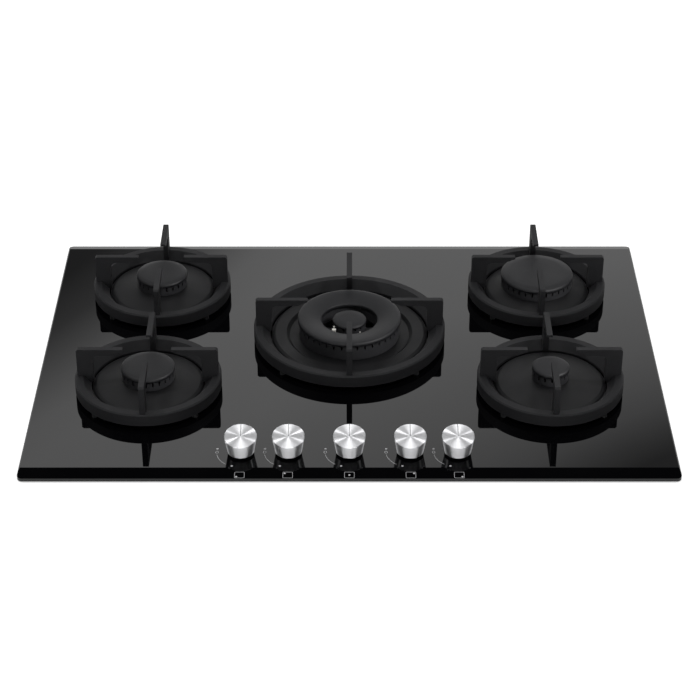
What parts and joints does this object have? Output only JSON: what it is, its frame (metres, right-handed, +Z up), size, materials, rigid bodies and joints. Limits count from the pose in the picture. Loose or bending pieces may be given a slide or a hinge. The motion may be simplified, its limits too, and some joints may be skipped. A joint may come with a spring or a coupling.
{
  "type": "built-in gas hob",
  "caption": "Black glass gas hob with ring-shaped cast-iron pan supports, lift-off burner caps and tilted metal push-and-turn knobs, over a steel box that hangs in the worktop.",
  "frame": {"origin": "middle of the cut-out at the level of the worktop surface, on the underside of the glass seal", "axes": "+X to the cook's right, +Y to the wall, +Z up; the cook stands at -Y"},
  "size_m": [0.75, 0.52, 0.1255],
  "materials": {
    "black_glass": "polished toughened glass, opaque black from behind",
    "seal_foam": "closed-cell foam",
    "galvanised_sheet": "galvanised sheet",
    "zinc_steel": "zinc-plated",
    "matte_iron": "matte black enamel on cast iron",
    "black_enamel": "satin black vitreous enamel",
    "black_alloy": "die-cast, black coated",
    "cast_alloy": "die-cast, as cast",
    "drawn_alloy": "drawn tube",
    "spun_metal": "turned and radially brushed",
    "brass": "machined",
    "bright_steel": "turned",
    "white_ceramic": "glazed alumina",
    "dark_plastic": "moulded",
    "white_plastic": "moulded",
    "foot_rubber": "silicone rubber"
  },
  "bodies": {
    "root": {"glass_top": "black_glass", "worktop_seal": "seal_foam", "burner_box": "galvanised_sheet", "hold_down_clamps": "zinc_steel", "manifold_brackets": "cast_alloy", "ignition_generator": "dark_plastic", "terminal_block": "white_plastic", "gas_manifold": "zinc_steel", "inlet_elbow": "brass", "supply_pipes": "drawn_alloy", "gas_taps": "cast_alloy", "tap_covers": "zinc_steel", "ignition_switches": "white_plastic", "burner_cups": "cast_alloy", "clamp_rings": "zinc_steel", "injectors": "brass", "spark_plugs": "white_ceramic", "thermocouples": "bright_steel", "fixing_screws": "zinc_steel", "base_plate_left_front": "black_enamel", "base_plate_left_rear": "black_enamel", "base_plate_right_front": "black_enamel", "base_plate_right_rear": "black_enamel", "base_plate_wok": "black_enamel"},
    "tap_plug_1": {"tap_plug_1": "brass"},
    "knob_1": {"knob_1": "spun_metal", "spindle_1": "bright_steel"},
    "tap_plug_2": {"tap_plug_2": "brass"},
    "knob_2": {"knob_2": "spun_metal", "spindle_2": "bright_steel"},
    "tap_plug_3": {"tap_plug_3": "brass"},
    "knob_3": {"knob_3": "spun_metal", "spindle_3": "bright_steel"},
    "tap_plug_4": {"tap_plug_4": "brass"},
    "knob_4": {"knob_4": "spun_metal", "spindle_4": "bright_steel"},
    "tap_plug_5": {"tap_plug_5": "brass"},
    "knob_5": {"knob_5": "spun_metal", "spindle_5": "bright_steel"},
    "pan_support_left_front": {"pan_support_left_front": "matte_iron", "support_feet_left_front": "foot_rubber"},
    "crown_left_front": {"crown_left_front": "black_alloy"},
    "cap_left_front": {"cap_left_front": "black_enamel"},
    "pan_support_left_rear": {"pan_support_left_rear": "matte_iron", "support_feet_left_rear": "foot_rubber"},
    "crown_left_rear": {"crown_left_rear": "black_alloy"},
    "cap_left_rear": {"cap_left_rear": "black_enamel"},
    "pan_support_right_front": {"pan_support_right_front": "matte_iron", "support_feet_right_front": "foot_rubber"},
    "crown_right_front": {"crown_right_front": "black_alloy"},
    "cap_right_front": {"cap_right_front": "black_enamel"},
    "pan_support_right_rear": {"pan_support_right_rear": "matte_iron", "support_feet_right_rear": "foot_rubber"},
    "crown_right_rear": {"crown_right_rear": "black_alloy"},
    "cap_right_rear": {"cap_right_rear": "black_enamel"},
    "pan_support_wok": {"pan_support_wok": "matte_iron", "support_feet_wok": "foot_rubber"},
    "crown_wok": {"crown_wok": "black_alloy"},
    "cap_wok": {"cap_wok": "black_enamel"},
    "cap_wok_centre": {"cap_wok_centre": "black_enamel"}
  },
  "joints": [
    {"name": "knob_1_turn", "type": "hinge", "parent": "root", "child": "tap_plug_1", "pos_m": [-0.124, -0.213, 0], "axis": [0, 0, 1], "range_deg": [0, 160]},
    {"name": "knob_1_push", "type": "slide", "parent": "tap_plug_1", "child": "knob_1", "axis": [0, 0, -1], "range_m": [0, 0.0024], "stiffness_N_per_m": 1500, "springref_m": -0.002},
    {"name": "knob_2_turn", "type": "hinge", "parent": "root", "child": "tap_plug_2", "pos_m": [-0.0695, -0.213, 0], "axis": [0, 0, 1], "range_deg": [0, 160]},
    {"name": "knob_2_push", "type": "slide", "parent": "tap_plug_2", "child": "knob_2", "axis": [0, 0, -1], "range_m": [0, 0.0024], "stiffness_N_per_m": 1500, "springref_m": -0.002},
    {"name": "knob_3_turn", "type": "hinge", "parent": "root", "child": "tap_plug_3", "pos_m": [0, -0.213, 0], "axis": [0, 0, 1], "range_deg": [0, 160]},
    {"name": "knob_3_push", "type": "slide", "parent": "tap_plug_3", "child": "knob_3", "axis": [0, 0, -1], "range_m": [0, 0.0024], "stiffness_N_per_m": 1500, "springref_m": -0.002},
    {"name": "knob_4_turn", "type": "hinge", "parent": "root", "child": "tap_plug_4", "pos_m": [0.0695, -0.213, 0], "axis": [0, 0, 1], "range_deg": [0, 160]},
    {"name": "knob_4_push", "type": "slide", "parent": "tap_plug_4", "child": "knob_4", "axis": [0, 0, -1], "range_m": [0, 0.0024], "stiffness_N_per_m": 1500, "springref_m": -0.002},
    {"name": "knob_5_turn", "type": "hinge", "parent": "root", "child": "tap_plug_5", "pos_m": [0.124, -0.213, 0], "axis": [0, 0, 1], "range_deg": [0, 160]},
    {"name": "knob_5_push", "type": "slide", "parent": "tap_plug_5", "child": "knob_5", "axis": [0, 0, -1], "range_m": [0, 0.0024], "stiffness_N_per_m": 1500, "springref_m": -0.002},
    {"name": "pan_support_left_front_lift", "type": "slide", "parent": "root", "child": "pan_support_left_front", "axis": [0, 0, 1], "range_m": [0, 0.12]},
    {"name": "crown_left_front_lift", "type": "slide", "parent": "root", "child": "crown_left_front", "axis": [0, 0, 1], "range_m": [0, 0.008]},
    {"name": "cap_left_front_lift", "type": "slide", "parent": "crown_left_front", "child": "cap_left_front", "axis": [0, 0, 1], "range_m": [0, 0.01]},
    {"name": "pan_support_left_rear_lift", "type": "slide", "parent": "root", "child": "pan_support_left_rear", "axis": [0, 0, 1], "range_m": [0, 0.12]},
    {"name": "crown_left_rear_lift", "type": "slide", "parent": "root", "child": "crown_left_rear", "axis": [0, 0, 1], "range_m": [0, 0.008]},
    {"name": "cap_left_rear_lift", "type": "slide", "parent": "crown_left_rear", "child": "cap_left_rear", "axis": [0, 0, 1], "range_m": [0, 0.01]},
    {"name": "pan_support_right_front_lift", "type": "slide", "parent": "root", "child": "pan_support_right_front", "axis": [0, 0, 1], "range_m": [0, 0.12]},
    {"name": "crown_right_front_lift", "type": "slide", "parent": "root", "child": "crown_right_front", "axis": [0, 0, 1], "range_m": [0, 0.028]},
    {"name": "cap_right_front_lift", "type": "slide", "parent": "crown_right_front", "child": "cap_right_front", "axis": [0, 0, 1], "range_m": [0, 0.03]},
    {"name": "pan_support_right_rear_lift", "type": "slide", "parent": "root", "child": "pan_support_right_rear", "axis": [0, 0, 1], "range_m": [0, 0.12]},
    {"name": "crown_right_rear_lift", "type": "slide", "parent": "root", "child": "crown_right_rear", "axis": [0, 0, 1], "range_m": [0, 0.006]},
    {"name": "cap_right_rear_lift", "type": "slide", "parent": "crown_right_rear", "child": "cap_right_rear", "axis": [0, 0, 1], "range_m": [0, 0.008]},
    {"name": "pan_support_wok_lift", "type": "slide", "parent": "root", "child": "pan_support_wok", "axis": [0, 0, 1], "range_m": [0, 0.12]},
    {"name": "crown_wok_lift", "type": "slide", "parent": "root", "child": "crown_wok", "axis": [0, 0, 1], "range_m": [0, 0.007]},
    {"name": "cap_wok_lift", "type": "slide", "parent": "crown_wok", "child": "cap_wok", "axis": [0, 0, 1], "range_m": [0, 0.008]},
    {"name": "cap_wok_centre_lift", "type": "slide", "parent": "crown_wok", "child": "cap_wok_centre", "axis": [0, 0, 1], "range_m": [0, 0.03]}
  ]
}
